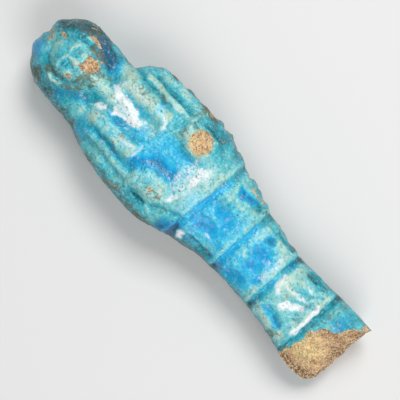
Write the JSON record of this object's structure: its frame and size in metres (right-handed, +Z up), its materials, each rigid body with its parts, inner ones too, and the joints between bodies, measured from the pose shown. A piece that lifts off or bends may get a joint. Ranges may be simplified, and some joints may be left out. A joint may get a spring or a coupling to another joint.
{
  "type": "ushabti figurine",
  "caption": "Mummy-shaped funerary figurine of blue-green glazed faience, broken off above the feet, lying on its back pillar.",
  "frame": {"origin": "on the rest plane, under the middle of the figure's length and breadth", "axes": "+Y towards the crown of the head, +Z up out of the face, +X towards the figure's left hand"},
  "size_m": [0.0289, 0.1, 0.0193],
  "materials": {
    "glazed_faience": "glossy blue-green alkaline glaze, pooled deep blue in the recesses and pale on the ridges, over a granular buff core that shows at the break and chips"
  },
  "bodies": {
    "root": {"ushabti_figure": "glazed_faience"}
  },
  "joints": []
}
